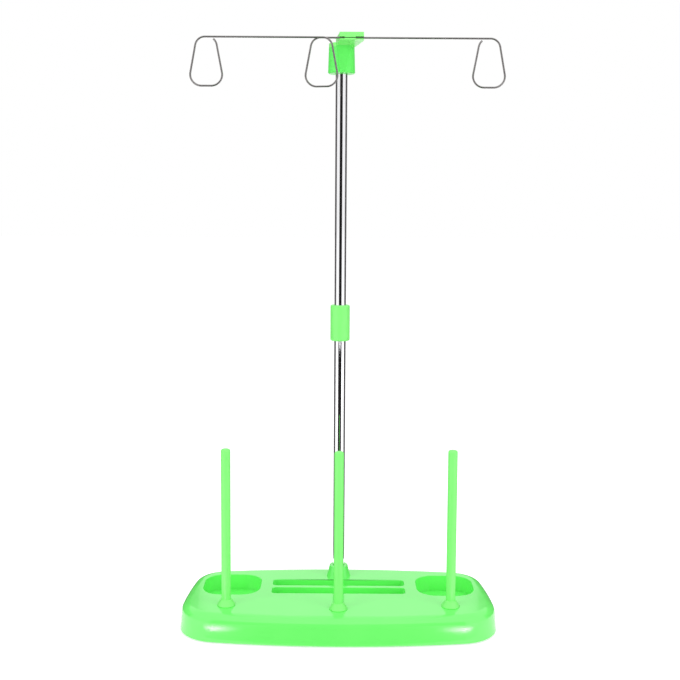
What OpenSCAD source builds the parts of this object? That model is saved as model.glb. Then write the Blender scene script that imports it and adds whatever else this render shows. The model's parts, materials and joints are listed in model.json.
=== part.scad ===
// Three-spool thread stand: a moulded base with three upright spool pins, a two-piece
// tube post at the back, and a bracket on top that carries a bent wire with three loops.
// Millimetres. +X is the viewer's right, +Y points to the back, +Z is up.

/* [Base] */

// full width of the base, left to right
base_w = 250; // [220:1:300]
// full depth of the base, front to back
base_d = 112.6; // [106:0.2:130]
// height of the moulded base from its rim to its flat top
base_h = 20.6; // [18:0.2:30]
// thickness of the base's walls and flat top
wall_t = 2.5; // [2:0.1:3.2]
// radius of the rounded edge between the flat top and the walls
edge_r = 7; // [5:0.5:8]
// how far the walls lean in between the rim and the rounded edge
wall_lean = 1.2; // [0:0.1:1.5]
// radius of the two front corners seen from above
front_corner_r = 32; // [24:1:38]
// radius of the two rear corners seen from above
rear_corner_r = 27; // [20:1:32]
// radius of the gently bowed front wall
front_bow_r = 720; // [600:10:1500]
// radius of the gently bowed rear wall
rear_bow_r = 800; // [600:10:1500]
// radius of the gently bowed side walls
side_bow_r = 400; // [300:10:1500]
// how far the side walls have turned in where they leave the front corners, in degrees
side_taper = 2; // [1:0.5:4]

/* [Trays] */

// width of each squarish notions tray
tray_w = 46.4; // [38:0.2:48]
// depth of each notions tray, front to back
tray_d = 43; // [34:0.2:43]
// corner radius of the notions trays
tray_r = 15; // [8:0.5:18]
// how deep the notions trays go
tray_deep = 13; // [8:0.5:13.5]
// distance of each tray's centre from the middle
tray_x = 87.2; // [86:0.2:90]
// position of the trays' centres, front to back
tray_y = 14.6; // [12:0.2:15]
// length of each bobbin slot
slot_l = 108; // [80:1:112]
// width of each bobbin slot
slot_w = 12.3; // [9:0.1:12.4]
// width of the land left between the two bobbin slots
slot_land = 4.3; // [4:0.1:8]
// how deep the bobbin slots go
slot_deep = 12; // [8:0.5:12.5]
// position of the land between the slots, front to back
slot_y = 10.9; // [8:0.1:11]

/* [Spool pins] */

// diameter of each spool pin
pin_d = 7.3; // [6:0.1:8]
// height of each spool pin above the base's top
pin_h = 124.3; // [80:0.1:160]
// distance between neighbouring spool pins
pin_pitch = 87.8; // [75:0.2:92]
// position of the two outer pins, front to back
pin_y = -27.6; // [-28:0.1:-24]
// how far the middle pin stands in front of the outer two
pin_step = 6.2; // [0:0.1:8]
// diameter of the round foot collar of each pin
pin_foot_d = 14.2; // [12:0.2:18]
// height of the foot collar of each pin
pin_foot_h = 4.5; // [3:0.1:6]

/* [Post] */

// outside diameter of both post tubes
tube_d = 9.5; // [8:0.1:10]
// wall of both post tubes
tube_t = 0.8; // [0.6:0.1:1.2]
// length of each post tube
tube_l = 224.3; // [160:0.1:260]
// position of the post, front to back
post_y = 35.3; // [35:0.1:37]
// height of the raised socket collar around the post's foot
post_foot_h = 9.8; // [6:0.1:14]
// outside diameter of the sleeve that joins the tubes
sleeve_d = 15.9; // [15:0.1:19]
// length of the sleeve that joins the tubes
sleeve_l = 29.3; // [26:0.1:40]

/* [Top bracket] */

// outside diameter of the bracket's collar
collar_d = 21.8; // [18:0.1:26]
// height of the bracket's collar
collar_h = 21.2; // [19:0.1:28]
// how much narrower the collar's radius is under the arm than at its foot
collar_taper = 0.7; // [0.2:0.1:1.2]
// thickness of the bracket's flat arm
arm_t = 5.7; // [5:0.1:9]
// distance from the post's axis to the arm's front face
arm_reach = 42; // [34:0.5:48]
// where the wire head starts, to the left of the post's axis
head_left = 1.9; // [1:0.1:2.2]
// where the wire head ends, to the right of the post's axis
head_right = 17; // [15:0.1:22]
// depth of the wire's centre behind the arm's front face
wire_inset = 2; // [1.8:0.1:2.6]

/* [Guide wire] */

// diameter of the guide wire
wire_d = 1.5; // [1.2:0.1:2]
// position of the left loop's centre, from the post's axis
loop_left_x = -103.8; // [-112:0.2:-90]
// position of the middle loop's centre, from the post's axis
loop_mid_x = -15.4; // [-22:0.1:-15.2]
// position of the right loop's centre, from the post's axis
loop_right_x = 113.2; // [95:0.2:122]
// outside width of each loop at its widest
loop_w = 26; // [20:0.2:26]
// drop from the wire's straight run to the bottom of each loop
loop_h = 37; // [30:0.1:46]
// how far the loops' sides lean outwards, in degrees
loop_lean = 10.5; // [6:0.5:11]

/* [Hidden] */

$fn = 96;

GREEN = [0.48, 1, 0.45];
CHROME = [0.8, 0.8, 0.82];
STEEL = [0.62, 0.62, 0.62];
RUBBER = [0.12, 0.12, 0.12];

// shared clearances
slip = 0.05;
wire_slip = 0.06;
bite = 0.5;

// rubber feet
foot_d = 12;
foot_t = 3;
foot_show = 1.2;
foot_slip = 0.1;
foot_boss_wall = 1.5;
foot_front_in = 18;
foot_rear_in = 16.5;
foot_front_x = base_w / 2 - foot_front_in;
foot_front_y = -22;
foot_rear_x = 60;
foot_rear_y = base_d / 2 - foot_rear_in;

// main levels
rim_z = foot_show;
top_z = rim_z + base_h;
tray_floor = 2;
tray_wall = 2;
rib_t = 2;
rib_z = rim_z + 2.5;

// plan of the base: the right half is a bowed front, a corner, a tapered side,
// a corner and a bowed rear, each tangent to the next; the bows and the sides
// stand a seam's step proud of the corners, which lap a little way under them
edge_steps = 6;
seam_step = 0.03;
seam_lap = 2;
bow_lap = 6;
front_c = [0, -base_d / 2 + front_bow_r + seam_step];
rear_c = [0, base_d / 2 - rear_bow_r - seam_step];
corner_f_x = base_w / 2 - front_corner_r;
corner_f = [corner_f_x,
    front_c[1] - sqrt(pow(front_bow_r - front_corner_r, 2) - pow(corner_f_x, 2))];
side_c = corner_f - (side_bow_r - front_corner_r) * [cos(side_taper), sin(side_taper)];
// the rear corner touches the side's bow and the rear bow, so its centre lies where a
// circle about side_c crosses one about rear_c
side_reach = side_bow_r - rear_corner_r;
rear_reach = rear_bow_r - rear_corner_r;
span = norm(rear_c - side_c);
span_dir = (rear_c - side_c) / span;
along = (pow(side_reach, 2) - pow(rear_reach, 2) + pow(span, 2)) / (2 * span);
across = sqrt(pow(side_reach, 2) - pow(along, 2));
corner_r = side_c + along * span_dir + across * [-span_dir[1], span_dir[0]];
front_half = atan2(corner_f[0], front_c[1] - corner_f[1]);
rear_half = atan2(corner_r[0], corner_r[1] - rear_c[1]);
side_end = atan2(corner_r[1] - side_c[1], corner_r[0] - side_c[0]);

// post
tube_r = tube_d / 2;
socket_r = tube_r + slip;
socket_deep = 10;
socket_wall = 3;
post_foot_z = top_z - socket_deep;
sleeve_web = 1.6;
sleeve_mid_z = post_foot_z + tube_l + sleeve_web / 2;
upper_z = sleeve_mid_z + sleeve_web / 2;
collar_bore = 23;
collar_z = upper_z + tube_l - collar_bore;
arm_z = collar_z + collar_h;
sleeve_edge = 1;

// spool pins
pin_r = pin_d / 2;
peg_r = 3;
peg_l = 12;
peg_slip = 0.03;
peg_boss_wall = 2.4;
pin_xs = [-pin_pitch, 0, pin_pitch];
pin_ys = [pin_y, pin_y - pin_step, pin_y];

// guide wire
wire_r = wire_d / 2;
wire_rise = 1.5;
wire_z = arm_z + wire_rise;
wire_y = post_y - arm_reach + wire_inset;
wire_swell = 0.02;
splice_l = 0.5;
turn_gap = 0.2;
arm_wire_y = wire_y - wire_d - turn_gap;
loop_hw = loop_w / 2 - wire_r;
loop_low_r = 8.5;
loop_top_r = 7.5;
loop_low_x = loop_hw - loop_low_r;
loop_top_x = loop_low_x + ((loop_low_r + loop_top_r - loop_h) * sin(loop_lean)
    + loop_low_r - loop_top_r) / cos(loop_lean);
tip_angle = asin(1 - (wire_d + turn_gap) / loop_top_r);
jog_l = 2 * loop_low_x;
jog_y = wire_d + turn_gap;
jog_a = 2 * atan(jog_y / jog_l);
jog_r = jog_l / (2 * sin(jog_a));
tunnel_left = 4;
snap_slit = 0.7;
tunnel_right = 6.4;

// the origin sits under the middle of the whole outline, so the stand is shifted
// sideways by half of what the right-hand loop reaches past the base
reach_right = loop_right_x + loop_w / 2;
shift_x = (base_w / 2 - max(reach_right, base_w / 2)) / 2;

// base

// half profile of the filled base: a leaning wall and an upper edge rounded in steps
module edge_profile(r_in, r_out, z_lo, z_hi, r_edge) {
    edge_c = [r_out - wall_lean - r_edge, z_hi - r_edge];
    polygon([
        [r_in, z_lo], [r_out, z_lo],
        for (i = [0:edge_steps])
            edge_c + r_edge * [cos(90 * i / edge_steps), sin(90 * i / edge_steps)],
        [r_in, z_hi]]);
}

// one round stretch of the base's plan, between two angles
module plan_arc(centre, r, from_a, to_a, r_in, z_lo, z_hi, r_edge) {
    translate([centre[0], centre[1], 0])
        rotate_extrude(angle = to_a - from_a, start = from_a, $fn = r > 200 ? 720 : 120)
            edge_profile(r_in, r, z_lo, z_hi, r_edge);
}

// the right half of the base as a solid, pulled in by inset on every side
module half_block(inset, z_lo, z_hi, r_edge) {
    plan_arc(corner_f, front_corner_r - inset, front_half - 90 - seam_lap,
        side_taper + seam_lap, 0, z_lo, z_hi, r_edge);
    plan_arc(corner_r, rear_corner_r - inset, side_end - seam_lap,
        90 - rear_half + seam_lap, 0, z_lo, z_hi, r_edge);
    plan_arc(side_c, side_bow_r - inset + seam_step, side_taper, side_end,
        side_bow_r - front_corner_r - bow_lap, z_lo, z_hi, r_edge);
}

// the front and rear bows, which cross the middle line
module bows(inset, z_lo, z_hi, r_edge) {
    plan_arc(front_c, front_bow_r - inset + seam_step, -90 - front_half, -90 + front_half,
        front_bow_r - front_corner_r - bow_lap, z_lo, z_hi, r_edge);
    plan_arc(rear_c, rear_bow_r - inset + seam_step, 90 - rear_half, 90 + rear_half,
        rear_bow_r - rear_corner_r - bow_lap, z_lo, z_hi, r_edge);
}

// the core between the corners' centres, reaching a little past each of them
module core(z_lo, z_hi) {
    front = corner_f + [bite, -bite];
    rear = corner_r + [bite, bite];
    translate([0, 0, z_lo])
        linear_extrude(z_hi - z_lo)
            polygon([front, rear, [-rear[0], rear[1]], [-front[0], front[1]]]);
}

module block(inset, z_lo, z_hi, r_edge) {
    half_block(inset, z_lo, z_hi, r_edge);
    mirror([1, 0, 0])
        half_block(inset, z_lo, z_hi, r_edge);
    bows(inset, z_lo, z_hi, r_edge);
    core(z_lo, z_hi);
}

// upright prism with four equal rounded corners
module round_box(w, d, r, z_lo, z_hi) {
    translate([0, 0, z_lo])
        linear_extrude(z_hi - z_lo) {
            square([w - 2 * r, d], center = true);
            square([w, d - 2 * r], center = true);
            for (sx = [-1, 1], sy = [-1, 1])
                translate([sx * (w / 2 - r), sy * (d / 2 - r)])
                    circle(r = r);
        }
}

module tray_prism(grow, z_lo, z_hi) {
    for (sx = [-1, 1])
        translate([sx * tray_x, tray_y, 0])
            round_box(tray_w + 2 * grow, tray_d + 2 * grow, tray_r + grow, z_lo, z_hi);
}

module slot_prism(grow, z_lo, z_hi) {
    slot_r = 3;
    for (sy = [-1, 1])
        translate([0, slot_y + sy * (slot_land + slot_w) / 2, 0])
            round_box(slot_l + 2 * grow, slot_w + 2 * grow, slot_r + grow, z_lo, z_hi);
}

// the raised, slightly conical collar around the post's foot
module post_foot_collar() {
    top_r = 7.7;
    low_r = 9.8;
    lip = 0.8;
    translate([0, post_y, top_z]) {
        cylinder(r1 = low_r, r2 = top_r, h = post_foot_h - lip);
        cylinder(r = top_r - lip, h = post_foot_h);
        translate([0, 0, post_foot_h - lip])
            rotate_extrude()
                translate([top_r - lip, 0])
                    circle(r = lip);
    }
}

module up(x, y, r, z_lo, z_hi) {
    translate([x, y, z_lo])
        cylinder(r = r, h = z_hi - z_lo);
}

// stiffening rib along the depth of the base
module rib_y(x, y_lo, y_hi) {
    translate([x - rib_t / 2, y_lo, rib_z])
        cube([rib_t, y_hi - y_lo, top_z - bite - rib_z]);
}

// stiffening rib along the width of the base
module rib_x(x_lo, x_hi, y) {
    translate([x_lo, y - rib_t / 2, rib_z])
        cube([x_hi - x_lo, rib_t, top_z - bite - rib_z]);
}

module foot_bosses(r, z_lo, z_hi) {
    for (sx = [-1, 1]) {
        up(sx * foot_front_x, foot_front_y, r, z_lo, z_hi);
        up(sx * foot_rear_x, foot_rear_y, r, z_lo, z_hi);
    }
}

// ribs between the walls, the trays, the slots and the bosses, kept inside the shell
module base_ribs() {
    half_wall = wall_t / 2;
    slot_front = slot_y - slot_land / 2 - slot_w - tray_wall / 2;
    slot_rear = slot_y + slot_land / 2 + slot_w + tray_wall / 2;
    tray_front = tray_y - tray_d / 2 - tray_wall / 2;
    intersection() {
        union() {
            for (sx = [-1, 1]) {
                rib_y(sx * pin_pitch, -base_d / 2, tray_front);
                rib_y(sx * pin_pitch / 2, -base_d / 2, slot_front);
                rib_y(sx * foot_rear_x / 2, slot_rear, base_d / 2);
            }
            rib_y(0, -base_d / 2, slot_front);
            rib_y(0, slot_rear, base_d / 2);
            rib_x(-foot_front_x, foot_front_x, foot_front_y);
        }
        block(half_wall, rim_z, top_z - half_wall, edge_r - half_wall);
    }
}

module base() {
    boss_z = top_z - peg_l - 2;
    color(GREEN)
        translate([shift_x, 0, 0])
            difference() {
                union() {
                    difference() {
                        block(0, rim_z, top_z, edge_r);
                        block(wall_t, rim_z - 1, top_z - wall_t, edge_r - wall_t);
                    }
                    tray_prism(tray_wall, top_z - tray_deep - tray_floor, top_z - bite);
                    slot_prism(tray_wall, top_z - slot_deep - tray_floor, top_z - bite);
                    post_foot_collar();
                    up(0, post_y, socket_r + socket_wall, post_foot_z - tray_floor, top_z - bite);
                    for (i = [0:2])
                        up(pin_xs[i], pin_ys[i], peg_r + peg_boss_wall, boss_z, top_z - bite);
                    foot_bosses(foot_d / 2 + foot_boss_wall, rim_z, top_z - bite);
                    base_ribs();
                }
                tray_prism(0, top_z - tray_deep, top_z + 1);
                slot_prism(0, top_z - slot_deep, top_z + 1);
                up(0, post_y, socket_r, post_foot_z, top_z + post_foot_h + 1);
                for (i = [0:2])
                    up(pin_xs[i], pin_ys[i], peg_r + peg_slip, top_z - peg_l, top_z + 1);
                foot_bosses(foot_d / 2 + foot_slip, rim_z - 1, foot_t);
            }
}

// rubber feet

module foot(x, y) {
    color(RUBBER)
        translate([shift_x + x, y, 0])
            cylinder(d = foot_d, h = foot_t);
}

module foot_front_left() {
    foot(-foot_front_x, foot_front_y);
}

module foot_front_right() {
    foot(foot_front_x, foot_front_y);
}

module foot_rear_left() {
    foot(-foot_rear_x, foot_rear_y);
}

module foot_rear_right() {
    foot(foot_rear_x, foot_rear_y);
}

// spool pins

// one moulded pin: a peg that presses into the base, a conical foot and a domed shaft
module spool_pin(i) {
    lip = 0.8;
    neck_r = pin_r + 0.9;
    dome = 1.6;
    color(GREEN)
        translate([shift_x + pin_xs[i], pin_ys[i], top_z]) {
            translate([0, 0, -peg_l + 0.5])
                cylinder(r = peg_r, h = peg_l);
            cylinder(d = pin_foot_d, h = lip);
            translate([0, 0, lip])
                cylinder(r1 = pin_foot_d / 2, r2 = neck_r, h = pin_foot_h - lip);
            cylinder(r = pin_r, h = pin_h - dome);
            translate([0, 0, pin_h - dome])
                rotate_extrude() {
                    square([pin_r - dome, dome]);
                    intersection() {
                        translate([pin_r - dome, 0])
                            circle(r = dome);
                        square([pin_r, dome]);
                    }
                }
        }
}

module spool_pin_left() {
    spool_pin(0);
}

module spool_pin_middle() {
    spool_pin(1);
}

module spool_pin_right() {
    spool_pin(2);
}

// post

module tube(z) {
    color(CHROME)
        translate([shift_x, post_y, z])
            difference() {
                cylinder(r = tube_r, h = tube_l);
                translate([0, 0, -1])
                    cylinder(r = tube_r - tube_t, h = tube_l + 2);
            }
}

module post_lower() {
    tube(post_foot_z);
}

module post_upper() {
    tube(upper_z);
}

// sleeve with a web in the middle that both tubes butt against
module post_sleeve() {
    half_l = sleeve_l / 2;
    color(GREEN)
        translate([shift_x, post_y, sleeve_mid_z])
            difference() {
                union() {
                    translate([0, 0, -half_l + sleeve_edge])
                        cylinder(d = sleeve_d, h = sleeve_l - 2 * sleeve_edge);
                    translate([0, 0, -half_l])
                        cylinder(d = sleeve_d - 2 * sleeve_edge, h = sleeve_l);
                    for (sz = [-1, 1])
                        translate([0, 0, sz * (half_l - sleeve_edge)])
                            rotate_extrude()
                                translate([sleeve_d / 2 - sleeve_edge, 0])
                                    circle(r = sleeve_edge);
                }
                translate([0, 0, sleeve_web / 2])
                    cylinder(r = socket_r, h = half_l);
                translate([0, 0, -half_l - sleeve_web / 2])
                    cylinder(r = socket_r, h = half_l);
                cylinder(r = tube_r - tube_t, h = sleeve_l, center = true);
            }
}

// top bracket

// plan of the arm: it leaves the collar and widens to the right as it comes forward
module arm_plan() {
    left_far = 4.6;
    head_l = 7;
    nose_r = 1;
    side_step = 0.3;
    right_far = collar_d / 2 - side_step;
    polygon([
        [-left_far, 0], [-left_far, -collar_d / 2], [-head_left, -arm_reach + head_l],
        [-head_left, -arm_reach + nose_r], [-head_left + nose_r, -arm_reach],
        [head_right - nose_r, -arm_reach], [head_right, -arm_reach + nose_r],
        [head_right, -arm_reach + head_l], [right_far, 0]]);
    for (x = [-head_left + nose_r, head_right - nose_r])
        translate([x, -arm_reach + nose_r])
            circle(r = nose_r);
    translate([(right_far - left_far) / 2, 0])
        circle(r = (right_far + left_far) / 2);
}

// tapered keel that carries the arm: wide under the arm, narrow at the collar's foot
module keel() {
    top_lx = -4.6;
    top_rx = 8.4;
    low_lx = -1.2;
    low_rx = 3.2;
    reach = 7;
    collar_front = -collar_d / 2;
    intersection() {
        translate([0, 0, -collar_h + 1])
            rotate([90, 0, 0])
                linear_extrude(arm_reach)
                    polygon([[low_lx, 0], [low_rx, 0], [top_rx, collar_h], [top_lx, collar_h]]);
        translate([-collar_d, 0, 0])
            rotate([90, 0, 90])
                linear_extrude(2 * collar_d)
                    polygon([
                        [collar_front + 4, 1], [collar_front - reach, 1],
                        [collar_front - reach, 0], [collar_front - 0.6, -collar_h + 1],
                        [collar_front + 4, -collar_h + 1]]);
    }
}

module top_bracket() {
    lip = 0.8;
    cap_t = 0.8;
    cap_z = max(bite, collar_bore - collar_h + cap_t);
    cut_h = 2 * (wire_r + wire_slip);
    wire_up = wire_z - arm_z;
    head_y = -arm_reach + wire_inset;
    color(GREEN)
        translate([shift_x, post_y, arm_z])
            difference() {
                union() {
                    translate([0, 0, -collar_h + lip])
                        cylinder(d1 = collar_d, d2 = collar_d - 2 * collar_taper,
                            h = collar_h - lip + cap_z);
                    translate([0, 0, -collar_h])
                        cylinder(d1 = collar_d - 2 * lip, d2 = collar_d, h = lip);
                    linear_extrude(arm_t)
                        arm_plan();
                    keel();
                }
                translate([0, 0, -collar_h - 1])
                    cylinder(r = socket_r, h = collar_bore + 1);
                translate([-collar_d, head_y, wire_up])
                    rotate([0, 90, 0])
                        cylinder(r = wire_r + wire_slip, h = 2 * collar_d);
                translate([-head_left - 1, -arm_reach - 1, wire_up - cut_h / 2])
                    cube([tunnel_left + 1, wire_inset + 1, cut_h]);
                translate([head_right - tunnel_right, -arm_reach - 1, wire_up - cut_h / 2])
                    cube([tunnel_right + 1, wire_inset + 1, cut_h]);
                translate([-head_left - 1, -arm_reach - 1, wire_up - snap_slit / 2])
                    cube([head_left + head_right + 2, wire_inset + 1, snap_slit]);
            }
}

// guide wire

// bend of the wire in an upright plane, angles counted from +X towards +Z
module bend(x, y, z, r, from_a, to_a) {
    translate([x, y, z])
        rotate([90, 0, 0])
            rotate([0, 0, from_a])
                rotate_extrude(angle = to_a - from_a, $fn = 48)
                    translate([r, 0])
                        circle(r = wire_r);
}

// bend of the wire in a level plane, angles counted from +X towards +Y
module level_bend(x, y, z, r, from_a, to_a) {
    translate([x, y, z])
        rotate([0, 0, from_a])
            rotate_extrude(angle = to_a - from_a, $fn = 96)
                translate([r, 0])
                    circle(r = wire_r);
}

// straight level run of the wire
module level_run(x_lo, x_hi, y, z) {
    translate([x_lo, y, z])
        rotate([0, 90, 0])
            cylinder(r = wire_r, h = x_hi - x_lo);
}

// slight swelling where a bend meets a straight run, turned along the wire there
module swell(x, y, z, turn) {
    translate([x, y, z])
        rotate(turn)
            cylinder(r = wire_r + wire_swell, h = splice_l, center = true);
}

// right-hand side of a loop centred on x = 0: lower bend and leaning side
module loop_side(y) {
    low_z = loop_low_r - loop_h;
    start = [loop_low_x + loop_low_r * cos(loop_lean), low_z + loop_low_r * sin(loop_lean)];
    stop = [loop_top_x + loop_top_r * cos(loop_lean), -loop_top_r + loop_top_r * sin(loop_lean)];
    bend(loop_low_x, y, low_z, loop_low_r, -90, loop_lean);
    translate([start[0], y, start[1]])
        rotate([0, -loop_lean, 0])
            cylinder(r = wire_r, h = norm(stop - start));
    swell(loop_low_x, y, -loop_h, [0, 90, 0]);
    swell(start[0], y, start[1], [0, -loop_lean, 0]);
    swell(stop[0], y, stop[1], [0, -loop_lean, 0]);
}

// upper bend of a loop, from its leaning side up to the straight run
module loop_shoulder(y) {
    bend(loop_top_x, y, -loop_top_r, loop_top_r, loop_lean, 90);
    swell(loop_top_x, y, 0, [0, 90, 0]);
}

// loop at a wire end: the near side turns in and stops just under the straight run
module end_loop(y) {
    loop_side(y);
    loop_shoulder(y);
    level_run(-loop_low_x, loop_low_x, y, -loop_h);
    mirror([1, 0, 0]) {
        loop_side(y);
        bend(loop_top_x, y, -loop_top_r, loop_top_r, loop_lean, tip_angle);
    }
}

// full turn in the middle of the wire, with a sideways jog along its bottom
module middle_loop() {
    loop_side(arm_wire_y);
    loop_shoulder(arm_wire_y);
    level_bend(loop_low_x, arm_wire_y + jog_r, -loop_h, jog_r, -90 - jog_a, -90);
    swell(0, (arm_wire_y + wire_y) / 2, -loop_h, [0, 90, -jog_a]);
    level_bend(-loop_low_x, wire_y - jog_r, -loop_h, jog_r, 90 - jog_a, 90);
    mirror([1, 0, 0]) {
        loop_side(wire_y);
        loop_shoulder(wire_y);
    }
}

module guide_wire() {
    color(STEEL)
        translate([shift_x, 0, wire_z]) {
            translate([loop_right_x, 0, 0])
                end_loop(wire_y, $fn = 16);
            translate([loop_left_x, 0, 0])
                mirror([1, 0, 0])
                    end_loop(arm_wire_y, $fn = 16);
            translate([loop_mid_x, 0, 0])
                middle_loop($fn = 16);
            level_run(loop_left_x - loop_top_x, loop_mid_x + loop_top_x, arm_wire_y, 0, $fn = 16);
            level_run(loop_mid_x - loop_top_x, loop_right_x + loop_top_x, wire_y, 0, $fn = 16);
        }
}

base();
foot_front_left();
foot_front_right();
foot_rear_left();
foot_rear_right();
spool_pin_left();
spool_pin_middle();
spool_pin_right();
post_lower();
post_sleeve();
post_upper();
top_bracket();
guide_wire();
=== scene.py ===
# %% [markdown]
# # A three-spool thread stand
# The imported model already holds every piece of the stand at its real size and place. This lesson
# dresses it: each plastic, chrome and wire piece gets a smooth, finely rounded mesh and a finish,
# and a plain white studio is built round it. We work in metres, in the model's own frame:
# +X is the viewer's right, +Y points to the back and +Z is up.

import json
import math

import bpy
from mathutils import Matrix, Vector


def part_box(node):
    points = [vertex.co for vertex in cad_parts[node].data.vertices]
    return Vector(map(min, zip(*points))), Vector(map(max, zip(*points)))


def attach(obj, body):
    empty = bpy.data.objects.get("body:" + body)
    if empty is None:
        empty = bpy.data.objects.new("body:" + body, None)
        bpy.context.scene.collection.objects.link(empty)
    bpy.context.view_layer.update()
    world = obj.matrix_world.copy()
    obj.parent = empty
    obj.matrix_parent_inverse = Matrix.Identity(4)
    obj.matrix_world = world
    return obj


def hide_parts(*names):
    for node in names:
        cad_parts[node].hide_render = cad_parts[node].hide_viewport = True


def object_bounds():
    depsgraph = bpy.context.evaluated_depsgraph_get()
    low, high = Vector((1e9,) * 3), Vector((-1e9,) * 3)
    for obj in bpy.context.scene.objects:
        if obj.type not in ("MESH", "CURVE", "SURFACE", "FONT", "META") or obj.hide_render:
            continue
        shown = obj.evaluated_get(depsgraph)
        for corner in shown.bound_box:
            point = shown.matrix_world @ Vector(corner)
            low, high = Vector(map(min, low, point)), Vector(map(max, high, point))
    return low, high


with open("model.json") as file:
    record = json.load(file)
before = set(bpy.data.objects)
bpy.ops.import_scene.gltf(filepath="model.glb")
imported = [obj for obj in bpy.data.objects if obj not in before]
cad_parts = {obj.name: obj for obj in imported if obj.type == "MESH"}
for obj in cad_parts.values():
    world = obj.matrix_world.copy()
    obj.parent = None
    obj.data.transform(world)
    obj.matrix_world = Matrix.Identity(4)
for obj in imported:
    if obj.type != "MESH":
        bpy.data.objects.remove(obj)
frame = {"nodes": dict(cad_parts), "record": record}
cad_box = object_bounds()
scene = bpy.context.scene
print("packed model:", [round(1000 * (hi - lo), 1) for lo, hi in zip(*cad_box)], "mm")

# %% [markdown]
# ## Camera
# The stand was photographed from the front with a medium long lens, a little above the spool
# pins. The camera could be aimed straight at the stand, but then its uprights would lean in the
# picture. Part of the height is taken up by a small vertical shift of the lens instead, and only
# the rest by tipping the camera down, which keeps the pins nearly upright.

# %% Place the camera
MM = 0.001


def mm(*values):
    """A point given in millimetres, in metres."""
    return Vector(values) * MM


def place_camera(place, pitch_down, roll, focal_length, shift):
    data = bpy.data.cameras.new("front_camera")
    data.sensor_width = 36
    data.lens = focal_length
    data.shift_x, data.shift_y = shift
    camera = bpy.data.objects.new("front_camera", data)
    scene.collection.objects.link(camera)
    tip = Matrix.Rotation(math.radians(90 - pitch_down), 4, "X")
    turn = Matrix.Rotation(math.radians(roll), 4, "Z")
    camera.matrix_world = Matrix.Translation(place) @ tip @ turn
    scene.camera = camera
    return camera


camera = place_camera(mm(-0.6, -800.9, 342.9), pitch_down=5.34, roll=0.35,
                      focal_length=54.06, shift=(-0.0004, -0.075))
print("camera stands", round(camera.location.length, 3), "m from the stand's origin")

# %% [markdown]
# ## Studio
# The product stands on a white sweep between two large soft boxes, under a third one. Every
# material and every light in it is built from nodes. Three small helpers keep that readable: one
# turns a colour's hex code into the values that shaders work in, one adds a node with its settings
# and links, and one empties a node tree.

# %% Node helper and colours
def srgb(code):
    """A colour written as a hex code, as the linear values that shaders work in."""
    parts = [int(code[i:i + 2], 16) / 255 for i in (1, 3, 5)]
    linear = [p / 12.92 if p <= 0.04045 else ((p + 0.055) / 1.055) ** 2.4 for p in parts]
    return (*linear, 1)


def add(tree, kind, inputs=None, **settings):
    """Adds one node. Settings are its own properties; inputs are its sockets' values or links."""
    node = tree.nodes.new(kind)
    for name, value in settings.items():
        setattr(node, name, value)
    for socket, value in (inputs or {}).items():
        if isinstance(value, bpy.types.NodeSocket):
            tree.links.new(value, node.inputs[socket])
        else:
            node.inputs[socket].default_value = value
    return node


def empty_tree(owner):
    owner.use_nodes = True
    owner.node_tree.nodes.clear()
    return owner.node_tree


# %% [markdown]
# ## White room
# A white world lights the stand evenly. Its light could be as strong as it looks, but then the
# plastic's pale shades would burn out. The world is pure white only where the camera, a mirroring
# surface or clear material looks at it, and shines less strongly on matt surfaces.

# %% World
WHITE = (1, 1, 1, 1)
AMBIENT = 0.69


def looked_at(tree):
    """1 for the camera's rays and for mirrored or transmitted ones, 0 for spreading light."""
    path = add(tree, "ShaderNodeLightPath")
    seen = add(tree, "ShaderNodeMath", {0: path.outputs["Is Camera Ray"],
                                        1: path.outputs["Is Glossy Ray"]}, operation="MAXIMUM")
    return add(tree, "ShaderNodeMath", {0: seen.outputs[0],
                                        1: path.outputs["Is Transmission Ray"]},
               operation="MAXIMUM").outputs[0]


def white_world():
    world = bpy.data.worlds.new("white_room")
    tree = empty_tree(world)
    strength = add(tree, "ShaderNodeMapRange", {"Value": looked_at(tree), "To Min": AMBIENT,
                                                "To Max": 1.0})
    room = add(tree, "ShaderNodeBackground", {"Color": WHITE, "Strength": strength.outputs[0]})
    add(tree, "ShaderNodeOutputWorld", {"Surface": room.outputs[0]})
    scene.world = world


scene.view_settings.view_transform = "Standard"
white_world()
print("world:", scene.world.name, "with a strength of", AMBIENT, "as light")

# %% [markdown]
# ## Floor
# The white sweep is a roll of paper that runs out under the product. A shadow catcher would
# show no floor in the chrome, so the floor is a real, matt surface that takes the stand's soft
# shadow. A little glow for the camera and for what mirrors it makes its open parts come out as
# white as paper does in a studio photograph.

# %% Floor
def stage_sheet(name, size):
    """A flat square sheet of the studio in the floor's plane, size in metres."""
    bpy.ops.object.select_all(action="DESELECT")
    bpy.ops.mesh.primitive_plane_add(size=1, location=(0, 0, 0))
    sheet = bpy.context.object
    sheet.name = name
    sheet.scale = (size, size, 1)
    return sheet


def paper(name, colour, glow):
    """Matt paper; glow is added for the camera and for what mirrors it."""
    material = bpy.data.materials.new(name)
    tree = empty_tree(material)
    grain = add(tree, "ShaderNodeTexNoise",
                {"Vector": add(tree, "ShaderNodeTexCoord").outputs["Object"], "Scale": 900.0})
    tooth = add(tree, "ShaderNodeBump", {"Height": grain.outputs["Fac"], "Strength": 0.03,
                                         "Distance": 0.0001})
    matt = add(tree, "ShaderNodeBsdfDiffuse", {"Color": srgb(colour),
                                               "Normal": tooth.outputs["Normal"]})
    level = add(tree, "ShaderNodeMath", {0: looked_at(tree), 1: glow}, operation="MULTIPLY")
    shine = add(tree, "ShaderNodeEmission", {"Color": WHITE, "Strength": level.outputs[0]})
    both = add(tree, "ShaderNodeAddShader", {0: matt.outputs[0], 1: shine.outputs[0]})
    add(tree, "ShaderNodeOutputMaterial", {"Surface": both.outputs[0]})
    return material


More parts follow.
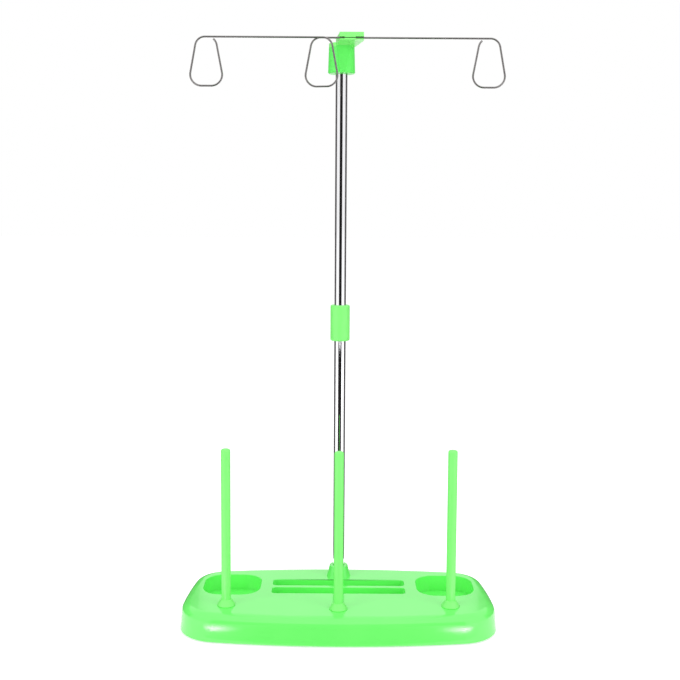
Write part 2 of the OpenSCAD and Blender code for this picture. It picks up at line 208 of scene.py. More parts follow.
floor = stage_sheet("floor", 14)
floor.data.materials.append(paper("white_sweep_paper", "#EDEDED", glow=0.5))
print(floor.name, "is", round(floor.dimensions.x, 1), "m wide")

# %% [markdown]
# ## Soft boxes
# Two soft boxes stand left and right in front of the stand and a third hangs over it. Their large
# faces give soft shadows. In a mirror they would show as hard white squares, so mirroring
# surfaces don't see them, and the pieces of cloth below take care of the reflections.

# %% Soft boxes
def soft_box(name, place, size, power, aim):
    """A large area lamp, size in metres and power in watts, turned towards aim."""
    light = bpy.data.lights.new(name, "AREA")
    light.shape = "RECTANGLE"
    light.size, light.size_y = size
    light.energy = power
    lamp = bpy.data.objects.new(name, light)
    scene.collection.objects.link(lamp)
    lamp.visible_camera = False
    lamp.visible_glossy = False
    lamp.location = place
    lamp.rotation_euler = (Vector(aim) - Vector(place)).to_track_quat("-Z", "Y").to_euler()
    return lamp


SIDE_BOX_POWER = 5.5
TOP_BOX_POWER = 6.0
SIDES = (("left", -1), ("right", 1))
stand_middle = (cad_box[0] + cad_box[1]) / 2
for side, sign in SIDES:
    soft_box("soft_box_" + side, (sign * 1.0, -0.85, 0.6), (0.8, 0.8), SIDE_BOX_POWER,
             stand_middle)
soft_box("soft_box_top", (0, 0.1, 1.7), (1.4, 1.0), TOP_BOX_POWER, stand_middle)

# %% [markdown]
# ## Cloth for the reflections
# Chrome has hardly any colour of its own: it shows the room as bright and dark stripes, and in a
# purely white room it would vanish. Black cloth therefore hangs and lies in front of the stand
# and grey cloth at both sides behind it, and the tubes show them as a dark middle line and two
# grey edges. The cloths could be ordinary objects, but they would darken the plastic too. These
# are seen by mirroring surfaces alone, so that they take no light away from the stand.

# %% Cloth, and sheets that only mirroring surfaces see
def studio_cloth(name, deep, light, fade=None):
    """Matt studio cloth; with fade, (from, to) in metres, it thins out sideways from x = 0."""
    material = bpy.data.materials.new(name)
    tree = empty_tree(material)
    place = add(tree, "ShaderNodeTexCoord").outputs["Object"]
    weave = add(tree, "ShaderNodeTexNoise", {"Vector": place, "Scale": 400.0})
    tint = add(tree, "ShaderNodeMix", {"Factor": weave.outputs["Fac"], "A": srgb(deep),
                                       "B": srgb(light)}, data_type="RGBA")
    cloth = add(tree, "ShaderNodeBsdfDiffuse", {"Color": tint.outputs["Result"]})
    if fade:
        x = add(tree, "ShaderNodeSeparateXYZ", {"Vector": place}).outputs["X"]
        aside = add(tree, "ShaderNodeMath", {0: x}, operation="ABSOLUTE")
        thin = add(tree, "ShaderNodeMapRange", {"Value": aside.outputs[0], "From Min": fade[0],
                                                "From Max": fade[1]},
                   interpolation_type="SMOOTHSTEP")
        cloth = add(tree, "ShaderNodeMixShader",
                    {0: thin.outputs["Result"], 1: cloth.outputs[0],
                     2: add(tree, "ShaderNodeBsdfTransparent").outputs[0]})
    add(tree, "ShaderNodeOutputMaterial", {"Surface": cloth.outputs[0]})
    return material


def mirror_sheet(name, corners, material):
    """A sheet between four corners that only mirroring surfaces see; it takes no other light."""
    sheet = stage_sheet(name, 1)
    sheet.visible_camera = False
    sheet.visible_diffuse = False
    sheet.visible_shadow = False
    for vertex, corner in zip(sheet.data.vertices, corners):
        vertex.co = corner
    sheet.data.materials.append(material)
    return sheet


black = studio_cloth("black_studio_cloth", "#1C1B1B", "#2A2929")
soft_black = studio_cloth("black_cloth_with_soft_sides", "#1C1B1B", "#2A2929", fade=(0.06, 0.15))
grey = studio_cloth("grey_studio_cloth", "#5A5858", "#686666")
print("cloths:", [cloth.name for cloth in (black, soft_black, grey)])

# %% [markdown]
# The tubes mirror the room all round, so the cloths are placed by their angle round the post,
# counted from the camera's side, and by their distance from it. Angle and width of a cloth are
# what decides where its stripe lies on the tube and how wide it is.

# %% Places round the post
FLOOR_GAP = 1 * MM
post_low, post_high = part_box("post_lower")
post_xy = (post_low + post_high) / 2


def round_the_post(azimuth, distance, z):
    """A point at an angle from the camera's side and a distance from the post, in metres."""
    turn = math.radians(azimuth)
    return (post_xy.x + distance * math.sin(turn), post_xy.y - distance * math.cos(turn), z)


def upright(azimuths, distance, low, high):
    """Corners of an upright sheet between two angles round the post."""
    first, last = azimuths
    return [round_the_post(first, distance, low), round_the_post(last, distance, low),
            round_the_post(first, distance, high), round_the_post(last, distance, high)]


def on_floor(azimuths, near, far):
    """Corners of a sheet on the floor between two angles and two distances round the post."""
    first, last = azimuths
    return [round_the_post(first, far, FLOOR_GAP), round_the_post(last, far, FLOOR_GAP),
            round_the_post(first, near, FLOOR_GAP), round_the_post(last, near, FLOOR_GAP)]


print("post stands at", [round(1000 * value, 1) for value in post_xy.xy], "mm")

# %% Hang and lay the cloths
CLOTH_AWAY = 1.7
CLOTH_TOP = 0.8
FRONT_CLOTH_NEAR = 0.32
REAR_CLOTH_NEAR = 0.13
FRONT_ANGLE = 27
FRONT_FLOOR_ANGLE = 34
REAR_ANGLES = (88, 168)

for side, sign in SIDES:
    angles = [sign * angle for angle in REAR_ANGLES]
    mirror_sheet("rear_screen_" + side, upright(angles, CLOTH_AWAY, 0, CLOTH_TOP), grey)
    mirror_sheet("rear_floor_screen_" + side, on_floor(angles, REAR_CLOTH_NEAR, CLOTH_AWAY), grey)
mirror_sheet("front_screen", upright((-FRONT_ANGLE, FRONT_ANGLE), CLOTH_AWAY, 0, CLOTH_TOP), black)
mirror_sheet("front_floor_screen",
             on_floor((-FRONT_FLOOR_ANGLE, FRONT_FLOOR_ANGLE), FRONT_CLOTH_NEAR, CLOTH_AWAY), black)

# %% [markdown]
# The black cloth on the floor stops short of the stand. On the table in front of the base lies a
# smaller one, which thins out towards its sides. A hard side would show as an edge across the
# base's glossy front wall.

# %% Cloth on the table
TABLE_CLOTH_HALF = 0.16
base_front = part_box("base")[0].y


def table_cloth():
    far = post_xy.y - FRONT_CLOTH_NEAR * math.cos(math.radians(FRONT_ANGLE))
    near = base_front - 4 * MM
    half = TABLE_CLOTH_HALF
    corners = [(x, y, FLOOR_GAP) for y in (far, near) for x in (-half, half)]
    mirror_sheet("table_screen", corners, soft_black)
    print("table cloth is", round(1000 * (near - far)), "mm deep")


table_cloth()

# %% [markdown]
# ## Bright cards
# The base's front corners shine in two soft ovals. A lamp would light the floor and the walls as
# well, so two small bright cards lie on the table in front of the corners, as a photographer puts
# them there to bring a corner out. Each is a clear sheet with an oval glow that fades outwards,
# turned as the corner is, and only mirroring surfaces see it.

# %% Bright cards on the table
CARD_SIZE = (0.1, 0.056)
GLOW_SIZE = (0.032, 0.014)
GLOW_TURN = math.radians(17)
GLOW_STRENGTH = 20.0


def glow_spot(name, centre, size, turn, strength):
    """A soft oval of light on a clear sheet, brightest in its middle, sizes in metres."""
    material = bpy.data.materials.new(name)
    tree = empty_tree(material)
    place = add(tree, "ShaderNodeMapping",
                {"Vector": add(tree, "ShaderNodeTexCoord").outputs["Object"],
                 "Location": (*centre, 0), "Rotation": (0, 0, turn),
                 "Scale": (size[0], size[1], 1)}, vector_type="TEXTURE")
    oval = add(tree, "ShaderNodeTexGradient", {"Vector": place.outputs["Vector"]},
               gradient_type="QUADRATIC_SPHERE")
    level = add(tree, "ShaderNodeMath", {0: oval.outputs["Fac"], 1: strength},
                operation="MULTIPLY")
    shine = add(tree, "ShaderNodeEmission", {"Strength": level.outputs[0]})
    clear = add(tree, "ShaderNodeBsdfTransparent")
    both = add(tree, "ShaderNodeAddShader", {0: shine.outputs[0], 1: clear.outputs[0]})
    add(tree, "ShaderNodeOutputMaterial", {"Surface": both.outputs[0]})
    return material


def table_card(side, sign):
    """A small bright card on the table in front of a corner of the base."""
    spot = (stand_middle.x + sign * 114 * MM, base_front - 30 * MM)
    corners = [(spot[0] + x * CARD_SIZE[0] / 2, spot[1] + y * CARD_SIZE[1] / 2, 2 * FLOOR_GAP)
               for y in (-1, 1) for x in (-1, 1)]
    light = glow_spot("table_card_light_" + side, spot, GLOW_SIZE, sign * GLOW_TURN, GLOW_STRENGTH)
    mirror_sheet("table_card_" + side, corners, light)
    print("card", side, "lies at", [round(1000 * value) for value in spot], "mm")


for side, sign in SIDES:
    table_card(side, sign)

# %% [markdown]
# ## Green plastic
# The base, the sleeve, the bracket and the pins are injection-moulded in a glossy, through-dyed
# polystyrene. It mirrors its surroundings weakly when seen head-on and strongly at a grazing
# angle, as its refraction index of 1.59 says, and a weak, sharp coat stands for the skin that a
# polished mould leaves. A single flat colour would look painted, so the dye drifts a little over
# some centimetres as it does where the melt flowed, and a very fine bump, about 0.7 mm across,
# gives the faint unevenness of the mould's steel.
#
# Every finish here is made of such patterns. They are noise in the piece's own coordinates, so a
# spot of 0.7 mm stays 0.7 mm, whatever the size of the piece.

# %% Pattern with a real size
def pattern(tree, size_mm, detail=2.0, stretch=(1, 1, 1)):
    """Noise in the piece's own millimetres, with spots about size_mm across."""
    place = add(tree, "ShaderNodeMapping",
                {"Vector": add(tree, "ShaderNodeTexCoord").outputs["Object"], "Scale": stretch})
    return add(tree, "ShaderNodeTexNoise", {"Vector": place.outputs["Vector"],
                                            "Scale": 1 / (size_mm * MM),
                                            "Detail": detail}).outputs["Fac"]


# %% Green moulded polystyrene
POLYSTYRENE_IOR = 1.59


def moulded_plastic(name, deep, light, gloss=(0.10, 0.17), coat=0.3, thin=None):
    """Through-dyed moulded plastic between two close shades; gloss is its range of roughness. Thin
    is (height from, height to, shade): the colour is painted paler upwards between the two heights,
    a painted top light where the piece is lit from above."""
    material = bpy.data.materials.new(name)
    tree = empty_tree(material)
    dye = add(tree, "ShaderNodeMix", {"Factor": pattern(tree, 38), "A": srgb(deep),
                                      "B": srgb(light)}, data_type="RGBA")
    # Painted top light: between the two heights the colour turns to the paler shade, for the light
    # that falls on the top of the piece.
    if thin:
        place = add(tree, "ShaderNodeTexCoord").outputs["Object"]
        height = add(tree, "ShaderNodeSeparateXYZ", {"Vector": place}).outputs["Z"]
        top_light_share = add(tree, "ShaderNodeMapRange", {"Value": height, "From Min": thin[0],
                                                 "From Max": thin[1]})
        dye = add(tree, "ShaderNodeMix", {"Factor": top_light_share.outputs["Result"],
                                          "A": dye.outputs["Result"], "B": srgb(thin[2])},
                  data_type="RGBA")
    polish = add(tree, "ShaderNodeMapRange", {"Value": pattern(tree, 16, detail=4.0),
                                              "To Min": gloss[0], "To Max": gloss[1]})
    skin = add(tree, "ShaderNodeBump", {"Height": pattern(tree, 0.7), "Strength": 0.05,
                                        "Distance": 0.00002})
    surface = add(tree, "ShaderNodeBsdfPrincipled",
                  {"Base Color": dye.outputs["Result"], "Roughness": polish.outputs["Result"],
                   "Normal": skin.outputs["Normal"], "IOR": POLYSTYRENE_IOR,
                   "Coat Weight": coat, "Coat Roughness": 0.04})
    add(tree, "ShaderNodeOutputMaterial", {"Surface": surface.outputs[0]})
    return material


green_plastic = moulded_plastic("moulded_green_plastic", "#6DF86B", "#79FC75")
print("base plastic:", green_plastic.name)

# %% [markdown]
# Thin pieces let some light through and look paler than thick ones. Real subsurface scattering
# could do that, but on pieces 7 mm thick it costs much time and blurs little. The pins and the
# sleeve get a paler colour painted in instead, as painted light for the light through them. They
# come from duller moulds than the base, so they have no sharp coat.

# %% Paler plastic of the pins and the sleeve
DULL_MOULD = (0.36, 0.44)
# Painted light: a paler copy of the base's green, for the light that shines through the thin pins
# and sleeve.
pin_plastic = moulded_plastic("moulded_pin_plastic", "#80F874", "#8AFB80", gloss=DULL_MOULD,
                              coat=0.0)
print("pin plastic:", pin_plastic.name)

# %% [markdown]
# ## Chrome plating
# The post is steel tube with bright chrome plating: a nearly perfect mirror, with a trace of
# blur where it was polished. The polishing marks are stretched along the tube, which is upright.

# %% Chrome plating
def plated_chrome():
    material = bpy.data.materials.new("bright_chrome_plating")
    tree = empty_tree(material)
    polish = add(tree, "ShaderNodeMapRange",
                 {"Value": pattern(tree, 6, detail=3.0, stretch=(1, 1, 0.12)),
                  "To Min": 0.03, "To Max": 0.07})
    tint = add(tree, "ShaderNodeMix", {"Factor": pattern(tree, 45), "A": srgb("#F0F0F2"),
                                       "B": srgb("#F7F7F9")}, data_type="RGBA")
    surface = add(tree, "ShaderNodeBsdfPrincipled",
                  {"Base Color": tint.outputs["Result"], "Metallic": 1.0,
                   "Roughness": polish.outputs["Result"]})
    add(tree, "ShaderNodeOutputMaterial", {"Surface": surface.outputs[0]})
    return material


chrome = plated_chrome()
print("tube finish:", chrome.name)

# %% [markdown]
# ## Drawn wire
# The guide wire is drawn stainless steel, darker than chrome and a little duller, with fine
# lines along it from the drawing die. They are noise stretched along the straight run, which
# takes up most of the wire.

# %% Drawn stainless wire
def drawn_wire():
    material = bpy.data.materials.new("drawn_stainless_wire")
    tree = empty_tree(material)
    lines = pattern(tree, 0.5, detail=3.0, stretch=(0.04, 1, 1))
    polish = add(tree, "ShaderNodeMapRange", {"Value": lines, "To Min": 0.12, "To Max": 0.22})
    tint = add(tree, "ShaderNodeMix", {"Factor": pattern(tree, 9), "A": srgb("#979493"),
                                       "B": srgb("#ADAAA9")}, data_type="RGBA")
    surface = add(tree, "ShaderNodeBsdfPrincipled",
                  {"Base Color": tint.outputs["Result"], "Metallic": 1.0,
                   "Roughness": polish.outputs["Result"]})
    add(tree, "ShaderNodeOutputMaterial", {"Surface": surface.outputs[0]})
    return material


wire_steel = drawn_wire()
print("wire finish:", wire_steel.name)

# %% [markdown]
# ## Rubber
# The feet are matt black rubber. Rubber is never quite black: a faint grey bloom and a fine tooth
# keep it from looking like a hole in the picture.

# %% Moulded rubber
def moulded_rubber():
    material = bpy.data.materials.new("matt_black_rubber")
    tree = empty_tree(material)
    bloom = add(tree, "ShaderNodeMix", {"Factor": pattern(tree, 3, detail=4.0),
                                        "A": srgb("#1B1B1C"), "B": srgb("#2B2B2C")},
                data_type="RGBA")
    tooth = add(tree, "ShaderNodeBump", {"Height": pattern(tree, 0.4), "Strength": 0.3,
                                         "Distance": 0.00005})
    surface = add(tree, "ShaderNodeBsdfPrincipled",
                  {"Base Color": bloom.outputs["Result"], "Roughness": 0.75,
                   "Normal": tooth.outputs["Normal"]})
    add(tree, "ShaderNodeOutputMaterial", {"Surface": surface.outputs[0]})
    return material


rubber = moulded_rubber()
print("foot finish:", rubber.name)

# %% [markdown]
# ## Turned pieces
# The pins, the tubes and the sleeve are round, so each is made as on a lathe: one point is
# extruded step by step along half of the outline and that line is spun once round the upright
# axis. The profile is all that differs from piece to piece. A long straight face would borrow the
# tilt of the small rounded faces at its ends, which bends every reflection along it, so the
# normals are weighted by the size of the faces.

# %% Small tools
def edit_mode():
    bpy.ops.object.mode_set(mode="EDIT")
    bpy.ops.mesh.select_all(action="SELECT")


def object_mode():
    bpy.ops.object.mode_set(mode="OBJECT")


def use_modifier(piece, kind, **settings):
    """Adds a modifier, sets it and applies it."""
    modifier = piece.modifiers.new(kind.lower(), kind)
    for name, value in settings.items():
        setattr(modifier, name, value)
    bpy.ops.object.modifier_apply(modifier=modifier.name)


def smooth(piece, sharp_above):
    """Shades a piece smooth but for edges sharper than an angle, and makes it the active one."""
    bpy.ops.object.select_all(action="DESELECT")
    piece.select_set(True)
    bpy.context.view_layer.objects.active = piece
    bpy.ops.object.shade_smooth_by_angle(angle=math.radians(sharp_above))


# %% Lathe
WELD = 0.001 * MM


def arc(centre, radius, from_deg, to_deg, steps):
    """Points on an arc of a profile, as (radius, height)."""
    turns = [math.radians(from_deg + (to_deg - from_deg) * i / steps) for i in range(steps + 1)]
    return [(centre[0] + radius * math.cos(t), centre[1] + radius * math.sin(t)) for t in turns]


def step_along(points):
    """Extrudes the selected point through the others, each a Vector."""
    for a, b in zip(points, points[1:]):
        bpy.ops.mesh.extrude_region_move(TRANSFORM_OT_translate={"value": b - a})


def turned(name, profile, axis_xy, steps=96):
    """A round piece: profile lists (radius, height) in metres, closed on the axis or on itself."""
    points = [Vector((axis_xy[0] + r, axis_xy[1], z)) for r, z in profile]
    bpy.ops.object.select_all(action="DESELECT")
    bpy.ops.mesh.primitive_plane_add(size=MM, location=(0, 0, 0))
    piece = bpy.context.object
    piece.name = name
    edit_mode()
    bpy.ops.mesh.merge(type="CENTER")
    bpy.ops.transform.translate(value=points[0])
    step_along(points)
    bpy.ops.mesh.select_all(action="SELECT")
    bpy.ops.mesh.spin(steps=steps, angle=2 * math.pi, center=(*axis_xy, 0), axis=(0, 0, 1))
    bpy.ops.mesh.select_all(action="SELECT")
    bpy.ops.mesh.remove_doubles(threshold=WELD)
    bpy.ops.mesh.normals_make_consistent(inside=False)
    object_mode()
    smooth(piece, 30)
    use_modifier(piece, "WEIGHTED_NORMAL", keep_sharp=True)
    return piece


# %% [markdown]
# A finished piece takes the place of its imported node: it gets its material and rides on the body
# that the node moves with, and the node is hidden. So it moves as the node would.

# %% Put a piece in its node's place
def finish_piece(piece, material, body, slot, *nodes):
    """Gives a piece its finish and its body and hides the nodes that it stands for; slot is not
    used.
    """
    piece.data.materials.clear()
    piece.data.materials.append(material)
    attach(piece, body)
    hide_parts(*nodes)
    print(piece.name, len(piece.data.polygons), "faces")


def middle(node):
    """The upright axis of a round node, as (x, y)."""
    low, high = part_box(node)
    return ((low.x + high.x) / 2, (low.y + high.y) / 2)


# %% [markdown]
# ## Spool pins
# Each pin is one moulding: a peg that presses into the base, a conical foot that the spool rests
# on, and a straight shaft with a domed top. Real mouldings have no knife edges, so the foot's
# rim and the shaft's root get small radii.

# %% Sizes of a pin
BASE_TOP = 21.8 * MM
FOOT_HEIGHT = 4.5 * MM
RIM_R = 0.4 * MM
NECK_STEP = 0.9 * MM
ROOT_R = 0.7 * MM
DOME = 1.6 * MM
PEG_R = 3.0 * MM
SHAFT_R = 7.3 * MM / 2
print("pin shaft", round(2 * SHAFT_R / MM, 1), "mm thick")


# %% Spool pins
def spool_pin(name):
    low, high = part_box(name)
    foot_r = (high.x - low.x) / 2
    neck_r = SHAFT_R + NECK_STEP
    foot_top = BASE_TOP + FOOT_HEIGHT
    profile = [(0, low.z), (PEG_R, low.z), (PEG_R, BASE_TOP), (foot_r - RIM_R, BASE_TOP)]
    profile += arc((foot_r - RIM_R, BASE_TOP + RIM_R), RIM_R, -90, 35, 6)
    profile += arc((neck_r - RIM_R, foot_top - RIM_R), RIM_R, 35, 90, 4)
    profile += arc((SHAFT_R + ROOT_R, foot_top + ROOT_R), ROOT_R, -110, -180, 5)[1:]
    profile += arc((SHAFT_R - DOME, high.z - DOME), DOME, 0, 90, 10)
    profile += [(0, high.z)]
    pin = turned(name.replace("spool_pin", "domed_pin"), profile, middle(name), steps=64)
    finish_piece(pin, pin_plastic, "stand_base", "pin_plastic", name)


for side in ("left", "middle", "right"):
    spool_pin("spool_pin_" + side)

# %% [markdown]
# ## Post tubes
# Both tubes are cut from the same stock. A plain cylinder would do for most of their length, but
# a tube cutter leaves slightly rounded ends, which catch the light. So the section of the wall
# is spun, with rounded corners, and the tube is hollow.

# %% Tubes
TUBE_WALL = 0.8 * MM
TUBE_END_R = 0.3 * MM


def post_tube(node, body):
    low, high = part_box(node)
    outer = (high.x - low.x) / 2
    inner = outer - TUBE_WALL
    soft = TUBE_END_R
    profile = arc((inner + soft, low.z + soft), soft, 180, 270, 3)
    profile += arc((outer - soft, low.z + soft), soft, -90, 0, 4)
    profile += arc((outer - soft, high.z - soft), soft, 0, 90, 4)
    profile += arc((inner + soft, high.z - soft), soft, 90, 180, 3)
    profile += profile[:1]
    tube = turned(node.replace("post", "chromed_tube"), profile, middle(node), steps=128)
    finish_piece(tube, chrome, body, "chrome_tube", node)


post_tube("post_lower", "lower_post")
post_tube("post_upper", "upper_post")

# %% [markdown]
# ## Sleeve
# The sleeve joins the two tubes. It is a short moulding with a web in the middle that both tubes
# butt against, and its section is spun like theirs, with well rounded ends.

# %% Sleeve
SLEEVE_EDGE = 1.0 * MM
SLEEVE_WEB = 1.6 * MM
TUBE_ROOM = 0.05 * MM


def post_sleeve():
    low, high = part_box("post_sleeve")
    tube_low, tube_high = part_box("post_lower")
    outer = (high.x - low.x) / 2
    bore = (tube_high.x - tube_low.x) / 2 + TUBE_ROOM
    web_bore = bore - TUBE_ROOM - TUBE_WALL
    waist = (low.z + high.z) / 2
    profile = arc((outer - SLEEVE_EDGE, low.z + SLEEVE_EDGE), SLEEVE_EDGE, -90, 0, 8)
    profile += arc((outer - SLEEVE_EDGE, high.z - SLEEVE_EDGE), SLEEVE_EDGE, 0, 90, 8)
    profile += [(bore, high.z), (bore, waist + SLEEVE_WEB / 2), (web_bore, waist + SLEEVE_WEB / 2)]
    profile += [(web_bore, waist - SLEEVE_WEB / 2), (bore, waist - SLEEVE_WEB / 2), (bore, low.z)]
    profile += profile[:1]
    sleeve = turned("moulded_sleeve", profile, middle("post_sleeve"))
    finish_piece(sleeve, pin_plastic, "lower_post", "green_plastic", "post_sleeve")


post_sleeve()

# %% [markdown]
# ## Base
# The base is one large moulding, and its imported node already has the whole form: bowed walls,
# trays, bobbin slots, post collar, and ribs and bosses underneath. Its mesh is loose triangles
# with sharp rims, which gloss shows at once. It could be modelled anew, but a copy keeps the true
# form. The copy is welded and its flat areas are joined into single faces again.

# %% Welded copy of a node
def welded_copy(node, name, flat=0.4):
    """A copy of a node's mesh with its triangles joined; flat is the angle still called flat."""
    piece = bpy.data.objects.new(name, frame["nodes"][node].data.copy())
    scene.collection.objects.link(piece)
    bpy.ops.object.select_all(action="DESELECT")
    piece.select_set(True)
    bpy.context.view_layer.objects.active = piece
    edit_mode()
    bpy.ops.mesh.customdata_custom_splitnormals_clear()
    bpy.ops.mesh.remove_doubles(threshold=2 * WELD)
    bpy.ops.mesh.dissolve_limited(angle_limit=math.radians(flat))
    object_mode()
    print(name, len(piece.data.polygons), "faces after welding")
    return piece


# %% [markdown]
# The rims of the trays and slots are rounded by a bevel, as the mould's polished edges would be.
# A bevel of every edge would also round the seams between the walls' curves, so only the edges
# are chosen where the flat top turns down into a wall.

# %% Find the rims
SAME_LEVEL = 0.01 * MM
# how much less level, from 0 to 1, the wall at a rim is than the top
RIM_TILT = 0.7


def select_rims(piece, level, inside):
    """Selects the edges at one level, inside a box of the plan, where the top meets a wall."""
    mesh = piece.data
    count = 0
    across = {}
    for face in mesh.polygons:
        for key in face.edge_keys:
            across.setdefault(key, []).append(abs(face.normal.z))
    for item in [*mesh.vertices, *mesh.edges, *mesh.polygons]:
        item.select = False
    for edge in mesh.edges:
        a, b = (mesh.vertices[i].co for i in edge.vertices)
        tilts = across.get(tuple(sorted(edge.vertices)), [])
        at_level = abs(a.z - level) < SAME_LEVEL and abs(b.z - level) < SAME_LEVEL
        if at_level and inside(a) and inside(b) and tilts and max(tilts) - min(tilts) > RIM_TILT:
            edge.select = True
            count += 1
    return count


# %% Base
RIM_ROUND = 0.5 * MM
TRAY_X, TRAY_Y = (62, 112), (-8, 37.5)
SLOTS_X, SLOTS_Y = (0, 56), (-5, 26)


def in_trays_or_slots(point):
    """Whether a point lies round a tray or the slots; x counts outwards from the post."""
    x, y = abs(point.x - post_xy.x) / MM, point.y / MM
    in_tray = TRAY_X[0] < x < TRAY_X[1] and TRAY_Y[0] < y < TRAY_Y[1]
    in_slots = SLOTS_X[0] <= x < SLOTS_X[1] and SLOTS_Y[0] < y < SLOTS_Y[1]
    return in_tray or in_slots


def base_shell():
    base = welded_copy("base", "moulded_base")
    rims = select_rims(base, BASE_TOP, in_trays_or_slots)
    bpy.context.tool_settings.mesh_select_mode = (False, True, False)
    bpy.ops.object.mode_set(mode="EDIT")
    bpy.ops.mesh.bevel(offset=RIM_ROUND, segments=3, affect="EDGES")
    bpy.context.tool_settings.mesh_select_mode = (True, False, False)
    object_mode()
    print("rims rounded along", rims, "edges")
    smooth(base, 32)
    use_modifier(base, "WEIGHTED_NORMAL", keep_sharp=True)
    finish_piece(base, green_plastic, "stand_base", "green_plastic", "base")


base_shell()

# %% [markdown]
# ## Top bracket
# The bracket is a collar for the tube's end with a flat arm that carries the wire head, and a keel
# that braces the arm. It too starts from its imported node; all its sharp edges are rounded by a
# bevel, which gives the small bright lines that make a moulding look real. The arm is thinner than
# the collar. One material paints the light and shade on it: the collar and keel get a darker green
# than the base, a painted shade under the arm, and the colour turns paler with the height just
# below the arm, a painted top light on the arm and head.

# %% Bracket
BRACKET_ROUND = 0.3 * MM
ARM_THICK = 5.7 * MM
# The painted top light starts this far below the arm's underside and is full at the second height.
TOP_LIGHT_FROM, TOP_LIGHT_TO = 1.0 * MM, 0.3 * MM


def bracket():
    piece = welded_copy("top_bracket", "moulded_bracket")
    use_modifier(piece, "BEVEL", width=BRACKET_ROUND, segments=2, limit_method="ANGLE",
                 angle_limit=math.radians(38), use_clamp_overlap=True)
    smooth(piece, 32)
    use_modifier(piece, "WEIGHTED_NORMAL", keep_sharp=True)
    arm_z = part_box("top_bracket")[1].z - ARM_THICK
    # Painted shade and light: a darker green than the base for the shade under the arm, and a paler
    # green from just below the arm upwards for the light on the arm and head.
    shade = moulded_plastic("bracket_plastic_painted_shade_and_light", "#5EF45E", "#68F868",
                            gloss=(0.26, 0.34), coat=0.0,
                            thin=(arm_z - TOP_LIGHT_FROM, arm_z - TOP_LIGHT_TO, "#8CFC80"))
    finish_piece(piece, shade, "bracket", "green_plastic", "top_bracket")


bracket()

# %% [markdown]
# ## Guide wire
# One length of wire, bent cold: a loop at each end and a full turn in the middle. It could be a
# curve with a round bevel, but here it is made as it is bent in the workshop. A ring of points
# stands at one tip of the wire; straight runs extrude it, and each bend spins it round the
# bending pin's centre. The middle turn steps backwards along its bottom, so that the wire passes
# itself.

# %% Sizes of the wire
WIRE_R = 1.5 * MM / 2
LOOP_W = 26 * MM
LOOP_H = 37 * MM
LEAN = math.radians(10.5)
LOW_R = 8.5 * MM
TOP_R = 7.5 * MM
TURN_GAP = 0.2 * MM
MIDDLE_LOOP_X = -16 * MM
LOW_X = LOOP_W / 2 - WIRE_R - LOW_R
TOP_X = LOW_X + ((LOW_R + TOP_R - LOOP_H) * math.sin(LEAN) + LOW_R - TOP_R) / math.cos(LEAN)
TIP = math.asin(1 - (2 * WIRE_R + TURN_GAP) / TOP_R)
print("a loop's top is", round(2 * (TOP_X + TOP_R) / MM, 1), "mm wide and its tip stops at",
      round(math.degrees(TIP)), "degrees")


# %% Bending tools
BEND_STEP = 6


def run(direction, length):
    """Extrudes the wire's end ring straight on."""
    move = Vector(direction).normalized() * length
    bpy.ops.mesh.extrude_region_move(TRANSFORM_OT_translate={"value": move})


def bend(centre, turn):
    """Spins the wire's end ring round a centre; turn is clockwise as seen from the front."""
    steps = max(3, round(math.degrees(turn) / BEND_STEP))
    bpy.ops.mesh.spin(steps=steps, angle=-turn, center=centre, axis=(0, 1, 0))


def bend_loop(x, y, z, start, stop, jog=0.0):
    """One loop round x, from an angle of its right shoulder to one of its left shoulder."""
    quarter = math.pi / 2
    side = LOOP_H - LOW_R - TOP_R
    side_length = math.sqrt(side ** 2 + (LOW_X - TOP_X) ** 2 - (LOW_R - TOP_R) ** 2)
    low_z = z - LOOP_H + LOW_R
    bend((x + TOP_X, y, z - TOP_R), start - LEAN)
    run((math.sin(LEAN), 0, -math.cos(LEAN)), side_length)
    bend((x + LOW_X, y, low_z), LEAN + quarter)
    run((-2 * LOW_X, jog, 0), math.hypot(2 * LOW_X, jog))
    bend((x - LOW_X, y + jog, low_z), quarter + LEAN)
    run((math.sin(LEAN), 0, math.cos(LEAN)), side_length)
    bend((x - TOP_X, y + jog, z - TOP_R), math.pi - LEAN - stop)


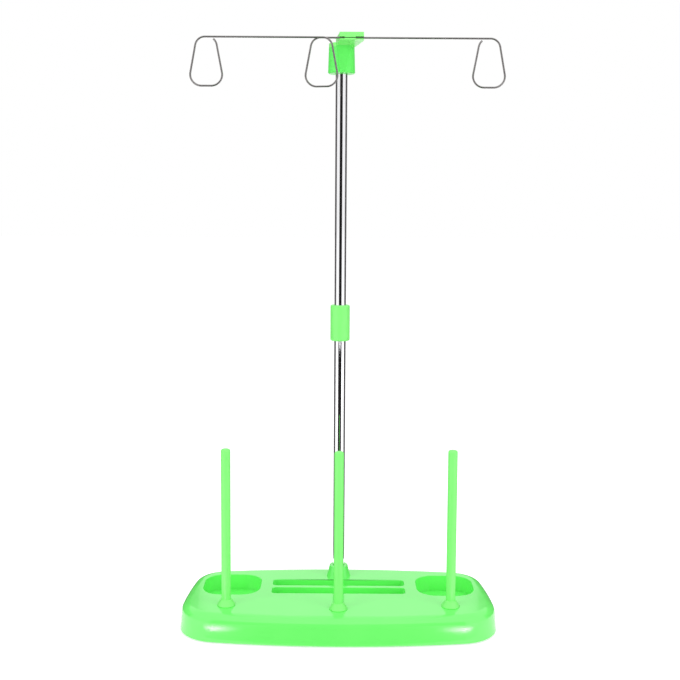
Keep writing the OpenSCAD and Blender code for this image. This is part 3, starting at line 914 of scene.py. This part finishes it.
# %% Guide wire
def guide_wire():
    low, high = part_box("guide_wire")
    z = high.z - WIRE_R
    front_y, back_y = low.y + WIRE_R, high.y - WIRE_R
    left_x, right_x = low.x + LOOP_W / 2, high.x - LOOP_W / 2
    tip_x = left_x + TOP_X + TOP_R * math.cos(TIP)
    tip_z = z - TOP_R + TOP_R * math.sin(TIP)
    bpy.ops.object.select_all(action="DESELECT")
    bpy.ops.mesh.primitive_circle_add(vertices=20, radius=WIRE_R, rotation=(0, -TIP, 0),
                                      location=(tip_x, front_y, tip_z))
    wire = bpy.context.object
    wire.name = "bent_guide_wire"
    bpy.ops.object.transform_apply(location=True, rotation=True, scale=True)
    edit_mode()
    bend_loop(left_x, front_y, z, TIP, math.pi / 2)
    run((1, 0, 0), MIDDLE_LOOP_X - left_x + 2 * TOP_X)
    bend_loop(MIDDLE_LOOP_X, front_y, z, math.pi / 2, math.pi / 2, jog=back_y - front_y)
    run((1, 0, 0), right_x - MIDDLE_LOOP_X + 2 * TOP_X)
    bend_loop(right_x, back_y, z, math.pi / 2, math.pi - TIP)
    bpy.ops.mesh.select_all(action="SELECT")
    bpy.ops.mesh.remove_doubles(threshold=WELD)
    bpy.ops.mesh.fill_holes(sides=0)
    bpy.ops.mesh.select_all(action="SELECT")
    bpy.ops.mesh.normals_make_consistent(inside=False)
    object_mode()
    smooth(wire, 40)
    made = [v.co for v in wire.data.vertices]
    print("wire spans", round((max(v.x for v in made) - min(v.x for v in made)) / MM, 2), "mm,",
          "node", round((high.x - low.x) / MM, 2), "mm; tip at", round(tip_x / MM, 1),
          round(tip_z / MM, 1))
    finish_piece(wire, wire_steel, "wire", "wire_steel", "guide_wire")


guide_wire()

# %% [markdown]
# ## Feet
# The four rubber feet are plain discs in bosses under the base, and only their edges show. Their
# nodes stay as they are and get the rubber. The nodes that the other pieces stand for get the
# finish of their material slot as well.

# %% Feet and the finish of the nodes underneath
SLOT_FINISH = {"green_plastic": green_plastic, "pin_plastic": pin_plastic, "chrome_tube": chrome,
               "wire_steel": wire_steel, "foot_rubber": rubber}
for row in frame["record"]["subparts"]:
    mesh = frame["nodes"][row["node"]].data
    mesh.materials.clear()
    mesh.materials.append(SLOT_FINISH[row["material_slot"]])
